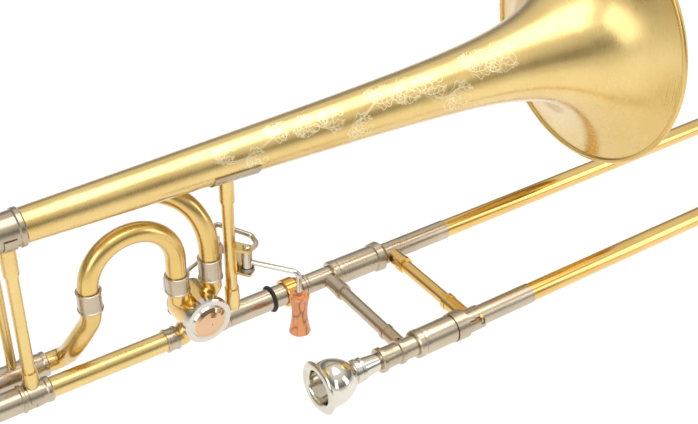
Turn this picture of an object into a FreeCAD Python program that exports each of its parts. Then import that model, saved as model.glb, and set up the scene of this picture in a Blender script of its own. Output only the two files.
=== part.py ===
import FreeCAD, Part
import math
import os
import re
import Sketcher

# A tenor trombone with an F attachment, open wrap, in millimetres, +Z up.
# +X runs along the instrument towards the bell mouth and the slide bow.
# The origin lies on the axis of the bell-side slide tube, at the front face of the
# lock nut that joins the hand slide to the bell section.
# The bell axis lies above it at +Z, the mouthpiece side of the slide at -Y, and the
# F attachment behind the bell at +Y.

doc = FreeCAD.newDocument("Trombone")

# ---------------------------------------------------------------- driving sizes
SIZES = {
    # overall layout
    "bell_height": 140.0,          # bell axis above the bell-side slide tube
    "slide_spacing": 105.0,         # distance between the two slide tubes
    "f_back": 26.0,                # F attachment legs behind the plane of the bell
    "f_upper_height": 123.0,       # upper leg of the F attachment
    # bell
    "bell_mouth_x": 285.0,
    "bell_radius": 109.0,          # over the rolled rim
    "bell_wall": 0.7,
    "bell_seam_x": 96.0,           # stem and flare are joined here
    "bell_tail_x": -232.0,
    "bell_tail_radius": 11.2,
    "bell_taper": 0.0215,          # growth of the stem's radius per mm
    "bell_flare_depth": 66.0,
    "bell_flare_power": 2.45,
    "rim_bead": 2.3,               # radius of the rolled rim
    "bell_fit": 0.03,              # gap between the bell and what is soldered to it
    # main tubing
    "main_od": 15.2,
    "main_wall": 0.6,
    "ferrule_wall": 0.9,           # how far a ferrule stands over its tube
    "tail_ferrule_end_x": -207.0,
    "lower_ferrule_end_x": -206.0,
    "lower_ferrule_start_x": -229.0,
    "exit_ferrule_start_x": -116.5,
    "exit_ferrule_end_x": -106.5,
    # tuning slides
    "upper_leg_od": 21.4,
    "lower_leg_od": 18.6,
    "leg_wall": 0.6,
    "leg_fit": 0.15,               # radial gap between an inner and an outer leg
    "leg_end_x": -326.0,
    "tuning_bow_x": -340.0,
    "f_leg_od": 18.4,
    "f_leg_end_x": -286.0,
    "f_bow_x": -300.0,
    "f_upper_end_x": -180.0,
    "f_lower_end_x": -198.0,
    # rotary valve
    "valve_x": -88.0,
    "valve_height": 19.0,          # valve axis above the main line
    "casing_radius": 17.2,
    "casing_half": 13.0,
    "rotor_radius": 13.6,
    "rotor_fit": 0.1,
    "rotor_channel": 5.1,
    "spindle_radius": 3.5,
    "port_left_x": -102.0,
    "port_right_x": -75.0,
    "port_height": 35.5,
    "f_left_leg_x": -169.0,
    # neck and joint
    "receiver_od": 17.5,
    "receiver_start_x": -70.5,
    "receiver_end_x": -5.0,
    "tenon_radius": 7.55,
    "tenon_fit": 0.12,
    "nut_radius": 11.2,
    # braces of the bell section
    "front_brace_x": -58.0,
    "rear_brace_x": -219.0,
    "brace_radius": 4.6,
    "brace_sleeve": 1.1,           # how far a sleeve stands over its rod
    # hand slide
    "slide_od": 15.2,
    "slide_wall": 0.5,
    "slide_fit": 0.15,
    "stocking_step": 0.2,
    "stocking_length": 120.0,
    "sleeve_wall": 0.45,
    "barrel_start_x": 30.0,
    "barrel_end_x": 79.0,
    "barrel_step": 5.0,            # the mouthpiece-side barrel starts this much later
    "barrel_radius": 10.6,
    "outer_start_x": 63.0,
    "sleeve_end_x": 144.5,
    "sleeve_step": 2.5,            # the mouthpiece-side sleeve is this much longer
    "inner_end_x": 688.0,
    "bow_x": 708.0,
    "inner_brace_x": 27.0,
    "outer_brace_x": 88.0,
    "grip_radius": 5.1,            # rods of the two slide braces
    # mouthpiece
    "mouthpiece_face_x": -51.0,
    "mouthpiece_length": 81.0,
    "mouthpiece_rim": 20.4,
    "cup_radius": 12.7,
    "shank_tip_radius": 5.75,
    "shank_fit": 0.1,
    "mouth_receiver_x": 2.5,
    # trigger
    "hinge_x": -50.0,
    "hinge_y": -11.0,
    "hinge_low_z": 45.5,
    "hinge_high_z": 63.5,
    "ball_x": -59.0,
    "ball_y": 18.0,
    "ball_z": 53.0,
    "stop_arm_radius": 12.7,
    "lever_rod": 2.0,
    "grip_x": -24.0,
    "grip_y": -41.0,
    "grip_top_z": 30.5,
    "grip_length": 34.0,
    "grip_waist": 5.9,
    "grip_end_radius": 7.9,
    "pivot_radius": 1.3,
    "pivot_fit": 0.05,
    # water key
    "key_nipple_x": 714.0,
    "key_pivot_x": 697.0,
}

sheet = doc.addObject("Spreadsheet::Sheet", "Sizes")
for row, (size_name, size_value) in enumerate(SIZES.items(), 1):
    sheet.set("A%d" % row, size_name)
    sheet.set("B%d" % row, str(size_value))
    sheet.setAlias("B%d" % row, size_name)
doc.recompute()

ALIAS = re.compile(r"\b(%s)\b" % "|".join(SIZES))
SUBPARTS = {}


def linked(text):
    """An expression in which every size name points at its cell."""
    return ALIAS.sub(r"Sizes.\1", str(text))


def number(text):
    """The present value of an expression."""
    value = sheet.evalExpression(linked(text))
    return float(getattr(value, "Value", value))


def bind(piece, **fields):
    """Binds fields of a piece to expressions."""
    for field, text in fields.items():
        piece.setExpression(field, linked(text))


TURNS = {
    "x": FreeCAD.Rotation(FreeCAD.Vector(0, 1, 0), 90),
    "-x": FreeCAD.Rotation(FreeCAD.Vector(0, 1, 0), -90),
    "y": FreeCAD.Rotation(FreeCAD.Vector(1, 0, 0), -90),
    "-y": FreeCAD.Rotation(FreeCAD.Vector(1, 0, 0), 90),
    "z": FreeCAD.Rotation(),
    "-z": FreeCAD.Rotation(FreeCAD.Vector(1, 0, 0), 180),
}


def place(piece, start, turn=None):
    """Places a piece at a start point given as three expressions."""
    piece.Placement = FreeCAD.Placement(FreeCAD.Vector(), turn or FreeCAD.Rotation())
    for letter, text in zip("xyz", start):
        piece.setExpression("Placement.Base." + letter, linked(text))
    return piece


def named(label, piece):
    """Lists a piece under the name of its sub-part. Pieces that share a name are
    separate solids of one sub-part."""
    SUBPARTS.setdefault(label, []).append(piece)
    return piece


# ---------------------------------------------------------------- shape makers
def rod(radius, length, start, along="x"):
    piece = doc.addObject("Part::Cylinder", "Rod")
    bind(piece, Radius=radius, Height=length)
    return place(piece, start, TURNS[along])


def slanted_rod(radius, start, end):
    """A rod between two points given as expressions."""
    piece = doc.addObject("Part::Cylinder", "Rod")
    run = FreeCAD.Vector(*[number(b) - number(a) for a, b in zip(start, end)])
    steps = ["(%s - (%s))" % (b, a) for a, b in zip(start, end)]
    bind(piece, Radius=radius, Height="sqrt(%s)" % " + ".join("%s ^ 2" % step for step in steps))
    return place(piece, start, FreeCAD.Rotation(FreeCAD.Vector(0, 0, 1), run))


def ball(radius, centre):
    piece = doc.addObject("Part::Sphere", "Ball")
    bind(piece, Radius=radius)
    return place(piece, centre)


def block(size, start, turn=None):
    piece = doc.addObject("Part::Box", "Block")
    bind(piece, Length=size[0], Width=size[1], Height=size[2])
    return place(piece, start, turn)


def ring(major, minor, centre, turn=None, sweep=360):
    piece = doc.addObject("Part::Torus", "Ring")
    bind(piece, Radius1=major, Radius2=minor)
    piece.Angle3 = sweep
    return place(piece, centre, turn)


def fused(*shapes):
    piece = doc.addObject("Part::MultiFuse", "Fused")
    piece.Shapes = list(shapes)
    return piece


def cut(base, *tools):
    piece = doc.addObject("Part::Cut", "Cut")
    piece.Base = base
    piece.Tool = tools[0] if len(tools) == 1 else fused(*tools)
    return piece


def common(base, tool):
    piece = doc.addObject("Part::Common", "Common")
    piece.Base = base
    piece.Tool = tool
    return piece


def tube(outer, bore, length, start, along="x"):
    """A straight round tube: an outer rod less its bore."""
    return cut(rod(outer, length, start, along), rod(bore, length, start, along))


def origin_plane(body, role):
    return next(item for item in body.Origin.OriginFeatures if item.Role == role)


def turned(label, profile, start, along="x"):
    """A body turned about its own X axis. The profile lists corners as
    (distance along, radius) expressions, none below zero."""
    body = doc.addObject("PartDesign::Body", "Turned")
    sketch = body.newObject("Sketcher::SketchObject", "Profile")
    sketch.AttachmentSupport = [(origin_plane(body, "XZ_Plane"), "")]
    sketch.MapMode = "FlatFace"
    corners = [FreeCAD.Vector(number(along_x), number(radius), 0) for along_x, radius in profile]
    count = len(corners)
    for index, corner in enumerate(corners):
        sketch.addGeometry(Part.LineSegment(corner, corners[(index + 1) % count]), False)
    for index in range(count):
        sketch.addConstraint(Sketcher.Constraint("Coincident", index, 2, (index + 1) % count, 1))
    for index, (along_x, radius) in enumerate(profile):
        for kind, text in (("DistanceX", along_x), ("DistanceY", radius)):
            value = number(text)
            if abs(value) < 1e-9:
                on_axis = -2 if kind == "DistanceX" else -1
                sketch.addConstraint(Sketcher.Constraint("PointOnObject", index, 1, on_axis))
                continue
            place_in_list = sketch.addConstraint(Sketcher.Constraint(kind, -1, 1, index, 1, value))
            sketch.setExpression("Constraints[%d]" % place_in_list, linked(text))
    spin = body.newObject("PartDesign::Revolution", "Spin")
    spin.Profile = sketch
    spin.ReferenceAxis = (sketch, ["H_Axis"])
    spin.Angle = 360
    turn_to = FreeCAD.Rotation(FreeCAD.Vector(0, 1, 0), 0)
    if along != "x":
        goal = {"-x": (-1, 0, 0), "y": (0, 1, 0), "-y": (0, -1, 0), "z": (0, 0, 1), "-z": (0, 0, -1)}[along]
        turn_to = FreeCAD.Rotation(FreeCAD.Vector(1, 0, 0), FreeCAD.Vector(*goal))
    place(body, start, turn_to)
    return named(label, body)


def banded(bore, outer, length, band, width):
    """The profile of a sleeve with a raised band at each end."""
    return [("0", bore), ("0", outer), ("0.4", "%s + %s" % (outer, band)),
            ("%s - 0.4" % width, "%s + %s" % (outer, band)), (width, outer),
            ("%s - %s" % (length, width), outer),
            ("%s - %s + 0.4" % (length, width), "%s + %s" % (outer, band)),
            ("%s - 0.4" % length, "%s + %s" % (outer, band)), (length, outer), (length, bore)]


def vectors_of(points):
    """The present places of points given as expressions."""
    return [FreeCAD.Vector(*[number(text) for text in point]) for point in points]


def along_route(radius, points, ends, leads):
    """A round solid swept along a smooth route through points. Ends holds the route's
    first and last directions, and leads how far it runs straight at each end."""
    vectors = vectors_of(points)
    start, finish = vectors[0], vectors[-1]
    first, last = FreeCAD.Vector(*ends[0]), FreeCAD.Vector(*ends[1])
    vectors[0] = start + first * leads[0]
    vectors[-1] = finish - last * leads[1]
    route = Part.BSplineCurve()
    route.interpolate(Points=vectors, InitialTangent=first, FinalTangent=last)
    wire = Part.Wire([Part.makeLine(start, vectors[0]), route.toShape(), Part.makeLine(vectors[-1], finish)])
    circle = Part.Circle(start, first, radius)
    return wire.makePipeShell([Part.Wire([circle.toShape()])], True, True)


def bent_rod(radius, points, corner):
    """A round rod along straight runs that meet in arcs of one radius."""
    vectors = vectors_of(points)
    edges = []
    last = vectors[0]
    for before, here, after in zip(vectors, vectors[1:], vectors[2:]):
        back = (before - here).normalize()
        ahead = (after - here).normalize()
        half = back.getAngle(ahead) / 2
        reach = corner / math.tan(half)
        middle = here + (back + ahead).normalize() * (corner / math.sin(half) - corner)
        edges.append(Part.makeLine(last, here + back * reach))
        edges.append(Part.Arc(here + back * reach, middle, here + ahead * reach).toShape())
        last = here + ahead * reach
    edges.append(Part.makeLine(last, vectors[-1]))
    circle = Part.Circle(vectors[0], vectors[1] - vectors[0], radius)
    return Part.Wire(edges).makePipeShell([Part.Wire([circle.toShape()])], True, True)


def bent_tube(label, outer, bore, points, ends, leads):
    """A tube along a free route. Its route is not a plain arc, so its shape is made here."""
    piece = doc.addObject("Part::Feature", "BentTube")
    full = along_route(number(outer), points, ends, leads)
    piece.Shape = full.cut(along_route(number(bore), points, ends, leads))
    return named(label, piece)


def bend(outer, bore, major, centre, turn, sweep=180):
    """A tube bent to an arc: a ring less its bore."""
    return cut(ring(major, outer, centre, turn, sweep), ring(major, bore, centre, turn, sweep))


# ---------------------------------------------------------------- bell
def bell_at(place_text):
    """The bell's outer radius at a place along it: a slow taper plus a flare that
    steepens to the rim."""
    taper = "bell_tail_radius + bell_taper * (%s - bell_tail_x)"
    flare = "(bell_radius - rim_bead - (%s))" % (taper % "bell_mouth_x")
    near = "(bell_flare_depth / (bell_flare_depth + bell_mouth_x - (%s)))" % place_text
    return "%s + %s * %s ^ bell_flare_power" % (taper % place_text, flare, near)


def bell_outline(along_x):
    """The present value of the bell's outer radius at a place along it."""
    return number(bell_at("(%.6f)" % along_x))


def bell_solid(start, end, steps):
    """A thin shell of revolution between two places along the bell."""
    wall = number("bell_wall")
    height = number("bell_height")
    share = [1 - (1 - index / steps) ** 1.8 for index in range(steps + 1)]
    places = [start + (end - start) * part for part in share]
    outer = [FreeCAD.Vector(place_x, 0, height + bell_outline(place_x)) for place_x in places]
    inner = []
    for place_x in places:
        slope = (bell_outline(place_x + 0.01) - bell_outline(place_x - 0.01)) / 0.02
        thick = wall * math.sqrt(1 + slope * slope)
        inner.append(FreeCAD.Vector(place_x, 0, height + bell_outline(place_x) - thick))
    outer_curve = Part.BSplineCurve()
    outer_curve.interpolate(outer)
    inner_curve = Part.BSplineCurve()
    inner_curve.interpolate(inner[::-1])
    edges = [outer_curve.toShape(), Part.makeLine(outer[-1], inner[-1]),
             inner_curve.toShape(), Part.makeLine(inner[0], outer[0])]
    face = Part.Face(Part.Wire(edges))
    return face.revolve(FreeCAD.Vector(0, 0, height), FreeCAD.Vector(1, 0, 0), 360)


for bell_label, bell_start, bell_end, bell_steps in (("bell_stem", "bell_tail_x", "bell_seam_x", 8),
                                                     ("bell_flare", "bell_seam_x", "bell_mouth_x", 14)):
    bell_piece = doc.addObject("Part::Feature", "BellPart")
    bell_piece.Shape = bell_solid(number(bell_start), number(bell_end), bell_steps)
    BELL_FLARE = named(bell_label, bell_piece)

named("bell_rim", cut(ring("bell_radius - rim_bead", "rim_bead", ("bell_mouth_x", "0", "bell_height"),
                           TURNS["x"]), BELL_FLARE))

# ---------------------------------------------------------------- main tubing
turned("main_ferrules",
       [("0", "upper_leg_od / 2"), ("0", "upper_leg_od / 2 + 1"), ("1", "upper_leg_od / 2 + 2"),
        ("4", "upper_leg_od / 2 + 2"), ("5", "upper_leg_od / 2 + 1.3"),
        ("tail_ferrule_end_x - bell_tail_x + 4", "upper_leg_od / 2 + 1.9"),
        ("tail_ferrule_end_x - bell_tail_x + 5", "upper_leg_od / 2 + 2.9"),
        ("tail_ferrule_end_x - bell_tail_x + 8", "upper_leg_od / 2 + 2.9"),
        ("tail_ferrule_end_x - bell_tail_x + 9", "upper_leg_od / 2 + 2"),
        ("tail_ferrule_end_x - bell_tail_x + 9", bell_at("tail_ferrule_end_x") + " + bell_fit"),
        ("8.5", bell_at("bell_tail_x") + " + bell_fit"), ("8.5", "upper_leg_od / 2")],
       ("bell_tail_x - 9", "0", "bell_height"))
named("tuning_outer_legs",
      tube("upper_leg_od / 2", "upper_leg_od / 2 - leg_wall", "bell_tail_x - 0.5 - leg_end_x",
           ("leg_end_x", "0", "bell_height")))
named("tuning_outer_legs",
      tube("lower_leg_od / 2", "lower_leg_od / 2 - leg_wall", "lower_ferrule_start_x + 9 - leg_end_x",
           ("leg_end_x", "0", "0")))
LOWER_LONG = "(lower_ferrule_end_x - lower_ferrule_start_x - 9.3)"
turned("main_ferrules",
       [("0", "main_od / 2"), ("0", "lower_leg_od / 2 + 0.1"), ("2", "lower_leg_od / 2 + 0.2"),
        (LOWER_LONG + " - 4.6", "main_od / 2 + 1.2"), (LOWER_LONG + " - 3.6", "main_od / 2 + 1.9"),
        (LOWER_LONG + " - 1", "main_od / 2 + 1.9"), (LOWER_LONG, "main_od / 2 + 1.1"),
        (LOWER_LONG, "main_od / 2")],
       ("lower_ferrule_start_x + 9.3", "0", "0"))
turned("brace_feet",
       [("0", "lower_leg_od / 2"), ("0.6", "lower_leg_od / 2 + 1.1"), ("2.4", "lower_leg_od / 2 + 1.1"),
        ("3", "lower_leg_od / 2")],
       ("lower_ferrule_start_x", "0", "0"))
named("lower_main_tube",
      tube("main_od / 2", "main_od / 2 - main_wall", "exit_ferrule_end_x - lower_ferrule_start_x - 9.5",
           ("lower_ferrule_start_x + 9.5", "0", "0")))
turned("main_ferrules",
       banded("main_od / 2", "main_od / 2 + ferrule_wall", "(exit_ferrule_end_x - exit_ferrule_start_x)",
              "0.6", "2.4"), ("exit_ferrule_start_x", "0", "0"))

# ---------------------------------------------------------------- rotary valve
VALVE = ("valve_x", "0", "valve_height")
# each knuckle: its ball corner, and where its arm meets the tube
KNUCKLES = (
    (("port_left_x", "0", "0"), ("exit_ferrule_end_x + 0.02", "0", "0")),
    (("port_right_x", "0", "0"), ("receiver_start_x", "0", "0")),
    (("port_left_x", "0", "port_height"), ("port_left_x", "0", "port_height + 14")),
    (("port_right_x", "0", "port_height"), ("port_right_x", "0", "port_height + 14")),
)


def knuckle_form(radius, corner, end):
    """A ball corner with one arm to the tube and one to the middle of the valve."""
    return fused(ball(radius, corner), slanted_rod(radius, corner, end), slanted_rod(radius, corner, VALVE))


KNUCKLE_OUTER = "main_od / 2 + 0.2"
KNUCKLE_BORE = "rotor_channel + 0.3"
for corner, end in KNUCKLES:
    casing_room = rod("casing_radius", "2 * casing_half + 6",
                      ("valve_x", "-casing_half - 3", "valve_height"), "y")
    beyond = ["2 * (%s) - (%s)" % (b, a) for a, b in zip(corner, end)]
    named("valve_knuckles", cut(knuckle_form(KNUCKLE_OUTER, corner, end),
                                knuckle_form(KNUCKLE_BORE, corner, end), casing_room,
                                slanted_rod("main_od", end, beyond)))

ports = [slanted_rod(KNUCKLE_BORE, corner, VALVE) for corner, end in KNUCKLES]
named("valve_casing",
      cut(tube("casing_radius", "rotor_radius + rotor_fit", "2 * casing_half",
               ("valve_x", "-casing_half", "valve_height"), "y"), *ports))
turned("valve_plates",
       [("0", "spindle_radius + 0.05"), ("0", "rotor_radius - 0.2"), ("0.5", "casing_radius - 0.4"),
        ("3", "casing_radius - 0.4"), ("3", "spindle_radius + 3"), ("5", "spindle_radius + 2.6"),
        ("5", "spindle_radius + 0.05")],
       ("valve_x", "casing_half", "valve_height"), "y")
turned("valve_plates",
       [("0", "spindle_radius + 0.05"), ("0", "casing_radius - 1.2"), ("2", "casing_radius - 1.2"),
        ("2", "spindle_radius + 0.05")],
       ("valve_x", "-casing_half", "valve_height"), "-y")
turned("valve_cap",
       [("0", "casing_radius + 0.05"), ("0", "casing_radius + 1.4"), ("4.6", "casing_radius + 1.4"),
        ("5.4", "casing_radius + 0.4"), ("5.4", "casing_radius - 3.2"), ("7", "casing_radius - 4.4"),
        ("8.6", "casing_radius - 7.4"), ("9.6", "casing_radius - 11.4"), ("9.9", "0"),
        ("6", "0"), ("6", "casing_radius - 6"), ("2.3", "casing_radius - 5"),
        ("2.3", "casing_radius + 0.05")],
       ("valve_x", "-casing_half", "valve_height"), "-y")

channels = [ring("rotor_radius", "rotor_channel",
                 ("valve_x", "0", "valve_height %s rotor_radius * sqrt(2)" % side), TURNS["y"])
            for side in "+-"]
named("rotor",
      cut(fused(rod("rotor_radius", "2 * casing_half - 0.4",
                    ("valve_x", "-casing_half + 0.2", "valve_height"), "y"),
                rod("spindle_radius", "casing_half + 9", ("valve_x", "0", "valve_height"), "y"),
                rod("spindle_radius", "casing_half + 2", ("valve_x", "0", "valve_height"), "-y")),
          *channels))

STUD = ("valve_x - stop_arm_radius / sqrt(2)", "ball_y", "valve_height + stop_arm_radius / sqrt(2)")
ARM_START = ("valve_x", "casing_half + 5.4", "valve_height")
ARM_END = (STUD[0], "casing_half + 5.4", STUD[2])
TURN_ARM = FreeCAD.Rotation(FreeCAD.Vector(0, 1, 0), -45)
stop_plate = fused(
    rod("6.4", "3.2", ARM_START, "y"),
    rod("3", "3.2", ARM_END, "y"),
    block(("6", "3.2", "stop_arm_radius"),
          ("valve_x - 3 / sqrt(2)", "casing_half + 5.4", "valve_height - 3 / sqrt(2)"), TURN_ARM),
    block(("4.4", "3.2", "11"),
          ("valve_x + 6.2 / sqrt(2)", "casing_half + 5.4", "valve_height - 9.4 / sqrt(2)"), TURN_ARM))
named("stop_arm",
      cut(stop_plate, rod("spindle_radius", "5", ("valve_x", "casing_half + 5", "valve_height"), "y")))
named("stop_arm", rod("pivot_radius", "8.4", (ARM_END[0], "casing_half + 8.6", ARM_END[2]), "y"))
turned("stop_arm",
       [("0", "0"), ("0", "4.2"), ("1.2", "4.2"), ("2", "3"), ("2", "0")],
       ("valve_x", "casing_half + 9.01", "valve_height"), "y")
for side in "-+":
    turned("stop_bumpers",
           [("0", "0"), ("0", "2.4"), ("4.4", "2.4"), ("5", "1.8"), ("5", "0")],
           ("valve_x %s (casing_radius - 5)" % side, "casing_half + 3.01", "valve_height - 9.5"), "y")

# ---------------------------------------------------------------- F attachment
UPRIGHT = FreeCAD.Rotation(FreeCAD.Vector(1, 0, 0), 90)
U_RADIUS = "(port_left_x - f_left_leg_x) / 2"
U_CENTRE = ("(port_left_x + f_left_leg_x) / 2", "0", "f_upper_height - 18 - " + U_RADIUS)
LEG_TOP = U_CENTRE[2]
FERRULE_LOW = LEG_TOP + " - 17"
named("f_front_bends",
      cut(fused(ring(U_RADIUS, "main_od / 2", U_CENTRE, UPRIGHT, 180),
                rod("main_od / 2", LEG_TOP + " - port_height - 14",
                    ("port_left_x", "0", "port_height + 14"), "z"),
                rod("main_od / 2", "8", ("f_left_leg_x", "0", LEG_TOP + " - 8"), "z")),
          fused(ring(U_RADIUS, "main_od / 2 - main_wall", U_CENTRE, UPRIGHT, 180),
                rod("main_od / 2 - main_wall", LEG_TOP + " - port_height - 14",
                    ("port_left_x", "0", "port_height + 14"), "z"),
                rod("main_od / 2 - main_wall", "8", ("f_left_leg_x", "0", LEG_TOP + " - 8"), "z"))))
for ferrule_x, ferrule_z, ferrule_long in (("port_left_x", "port_height + 6.2", "15.5"),
                                           ("f_left_leg_x", FERRULE_LOW, "17"),
                                           ("port_right_x", "port_height + 7", "19")):
    turned("f_ferrules",
           banded("main_od / 2 + 0.2", "main_od / 2 + 0.2 + ferrule_wall", ferrule_long, "0.5", "2"),
           (ferrule_x, "0", ferrule_z), "z")
bent_tube("f_front_bends", "main_od / 2", "main_od / 2 - main_wall",
          [("f_left_leg_x", "0", LEG_TOP + " - 8"), ("f_left_leg_x - 2.5", "4", "38"),
           ("f_left_leg_x - 13", "16", "12"), ("f_lower_end_x - 9", "f_back", "0")],
          ((0, 0, -1), (-1, 0, 0)), (9.5, 9.5))
bent_tube("f_rear_tube", "main_od / 2", "main_od / 2 - main_wall",
          [("port_right_x", "0", "port_height + 14"), ("port_right_x", "0.5", "f_upper_height - 51"),
           ("port_right_x - 6", "6", "f_upper_height - 24"),
           ("port_right_x - 27", "18.5", "f_upper_height - 6.5"),
           ("port_right_x - 60", "f_back - 0.4", "f_upper_height - 0.2"),
           ("f_upper_end_x - 9", "f_back", "f_upper_height")],
          ((0, 0, 1), (-1, 0, 0)), (12.5, 9.5))
for leg_end, leg_z in (("f_upper_end_x", "f_upper_height"), ("f_lower_end_x", "0")):
    named("f_outer_legs",
          tube("f_leg_od / 2", "f_leg_od / 2 - leg_wall", "%s - 9.2 - f_leg_end_x" % leg_end,
               ("f_leg_end_x", "f_back", leg_z)))
    turned("f_ferrules",
           [("0", "f_leg_od / 2"), ("0", "f_leg_od / 2 + 0.7"), ("3", "f_leg_od / 2 + 0.9"),
            ("14", "main_od / 2 + 1.2"), ("15", "main_od / 2 + 1.8"), ("17.2", "main_od / 2 + 1.8"),
            ("18", "main_od / 2 + 1"), ("18", "main_od / 2"), ("8.8", "main_od / 2"),
            ("8.8", "f_leg_od / 2")],
           ("%s - 18" % leg_end, "f_back", leg_z))

# ---------------------------------------------------------------- braces of the bell section
SLEEVE = "brace_radius + brace_sleeve"


def brace_between(label, brace_x, brace_y, low, high, low_sleeve, high_sleeve, cutters):
    """A rod with a stepped sleeve at each end, cut to sit on what it joins."""
    parts = [rod("brace_radius", "%s - (%s)" % (high, low), (brace_x, brace_y, low), "z"),
             rod(SLEEVE, low_sleeve, (brace_x, brace_y, low), "z"),
             rod(SLEEVE, high_sleeve, (brace_x, brace_y, "%s - (%s)" % (high, high_sleeve)), "z")]
    return named(label, cut(fused(*parts), *cutters))


# a thin saddle plate carries the front brace under the bell stem
SADDLE_CLEAR = 0.02
saddle_solid = doc.addObject("Part::Feature", "SaddlePlate")
saddle_outer = [FreeCAD.Vector(number("front_brace_x") + step, 0,
                               number("bell_height") + bell_outline(number("front_brace_x") + step))
                for step in (-16, 0, 20)]
saddle_face = Part.Face(Part.Wire([
    Part.makeLine(saddle_outer[0] + FreeCAD.Vector(0, 0, SADDLE_CLEAR),
                  saddle_outer[2] + FreeCAD.Vector(0, 0, SADDLE_CLEAR + 0.12)),
    Part.makeLine(saddle_outer[2] + FreeCAD.Vector(0, 0, SADDLE_CLEAR + 0.12),
                  saddle_outer[2] + FreeCAD.Vector(0, 0, 1.3)),
    Part.makeLine(saddle_outer[2] + FreeCAD.Vector(0, 0, 1.3), saddle_outer[0] + FreeCAD.Vector(0, 0, 1.2)),
    Part.makeLine(saddle_outer[0] + FreeCAD.Vector(0, 0, 1.2),
                  saddle_outer[0] + FreeCAD.Vector(0, 0, SADDLE_CLEAR))]))
saddle_shell = saddle_face.revolve(FreeCAD.Vector(0, 0, number("bell_height")), FreeCAD.Vector(1, 0, 0), 150)
saddle_shell.rotate(FreeCAD.Vector(0, 0, number("bell_height")), FreeCAD.Vector(1, 0, 0), 105)
saddle_solid.Shape = saddle_shell
named("brace_feet", saddle_solid)
saddle_filled = doc.addObject("Part::Feature", "SaddleRoom")
room_face = Part.Face(Part.makePolygon([
    FreeCAD.Vector(saddle_outer[0].x, 0, number("bell_height")),
    saddle_outer[0] + FreeCAD.Vector(0, 0, 1.21), saddle_outer[2] + FreeCAD.Vector(0, 0, 1.31),
    FreeCAD.Vector(saddle_outer[2].x, 0, number("bell_height")),
    FreeCAD.Vector(saddle_outer[0].x, 0, number("bell_height"))]))
saddle_filled.Shape = room_face.revolve(FreeCAD.Vector(0, 0, number("bell_height")),
                                        FreeCAD.Vector(1, 0, 0), 360)

brace_between("bell_braces", "front_brace_x", "0", "receiver_od / 2 - 3", "bell_height - 8", "20", "28",
              [saddle_filled, rod("receiver_od / 2 + 0.9", "60", ("front_brace_x - 30", "0", "0"))])
named("brace_feet",
      cut(rod("receiver_od / 2 + 0.88", "13", ("front_brace_x - 6.5", "0", "0")),
          rod("receiver_od / 2 + 0.01", "20", ("front_brace_x - 10", "0", "0")),
          block(("20", "30", "20"), ("front_brace_x - 10", "-15", "-20"))))
TAIL_ROOM = rod("upper_leg_od / 2 + 3", "60", ("rear_brace_x - 30", "0", "bell_height"))
brace_between("bell_braces", "rear_brace_x", "0", "lower_leg_od / 2 - 4", "bell_height - 8", "17", "26",
              [TAIL_ROOM, rod("lower_leg_od / 2 + 1.2", "60", ("rear_brace_x - 30", "0", "0"))])
for foot_z, foot_outer, foot_inner, foot_cut in (
        ("bell_height", "upper_leg_od / 2 + 2.95", "upper_leg_od / 2 + 1.95", "bell_height"),
        ("0", "lower_leg_od / 2 + 1.15", "lower_leg_od / 2 + 0.32", "-30")):
    named("brace_feet",
          cut(rod(foot_outer, "9", ("rear_brace_x - 4.5", "0", foot_z)),
              rod(foot_inner, "20", ("rear_brace_x - 10", "0", foot_z)),
              block(("20", "60", "30"), ("rear_brace_x - 10", "-30", foot_cut))))
named("f_braces",
      cut(rod("brace_radius - 1", "f_upper_height", ("rear_brace_x - 4", "f_back", "0"), "z"),
          rod("f_leg_od / 2 + 0.01", "60", ("rear_brace_x - 30", "f_back", "0")),
          rod("f_leg_od / 2 + 0.01", "60", ("rear_brace_x - 30", "f_back", "f_upper_height"))))
named("f_braces",
      cut(rod("brace_radius - 1", "f_back", ("rear_brace_x - 30", "0", "0"), "y"),
          rod("f_leg_od / 2 + 0.01", "60", ("rear_brace_x - 60", "f_back", "0")),
          rod("lower_leg_od / 2 + 0.01", "60", ("rear_brace_x - 60", "0", "0"))))

# ---------------------------------------------------------------- neck receiver and joint
RECEIVER = "receiver_od / 2"
TENON_START = "-44"
turned("neck_receiver",
       [("0", KNUCKLE_BORE), ("0", RECEIVER + " + 0.6"), ("3", RECEIVER + " + 0.6"), ("3.5", RECEIVER),
        ("receiver_end_x - receiver_start_x", RECEIVER),
        ("receiver_end_x - receiver_start_x", "tenon_radius + tenon_fit"),
        ("-46 - receiver_start_x", "tenon_radius + tenon_fit"), ("-46 - receiver_start_x", KNUCKLE_BORE)],
       ("receiver_start_x", "0", "0"))
turned("receiver_o_ring",
       [("0.3", RECEIVER), ("0", RECEIVER + " + 0.7"), ("0.5", RECEIVER + " + 1.6"),
        ("1.2", RECEIVER + " + 2"), ("2", RECEIVER + " + 2"), ("2.7", RECEIVER + " + 1.6"),
        ("3.2", RECEIVER + " + 0.7"), ("2.9", RECEIVER)],
       ("-26.6", "0", "0"))
turned("slide_tenon",
       [("0", "tenon_radius - 1.2"), ("0", "tenon_radius"), ("39.6", "tenon_radius"),
        ("39.6", "tenon_radius + 1.1"), ("40.4", "tenon_radius + 1.1"), ("40.4", "tenon_radius"),
        ("45", "tenon_radius"),
        ("45.3", "tenon_radius + 1"), ("47", "tenon_radius + 1"), ("47.3", "tenon_radius + 0.4"),
        ("48.7", "tenon_radius + 0.4"), ("49", "tenon_radius + 1"), ("51", "tenon_radius + 1"),
        ("52", "tenon_radius + 0.4"), ("52", "tenon_radius - 1.2")],
       (TENON_START, "0", "0"))
turned("lock_nut",
       [("0", RECEIVER + " + 0.3"), ("0", "nut_radius - 0.6"), ("0.6", "nut_radius"), ("8.6", "nut_radius"),
        ("9.4", "nut_radius - 0.8"), ("12.2", "nut_radius - 1.6"), ("12.2", "tenon_radius + 0.3"),
        ("10", "tenon_radius + 0.3"), ("10", RECEIVER + " + 0.3")],
       ("-13.2", "0", "0"))
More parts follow.
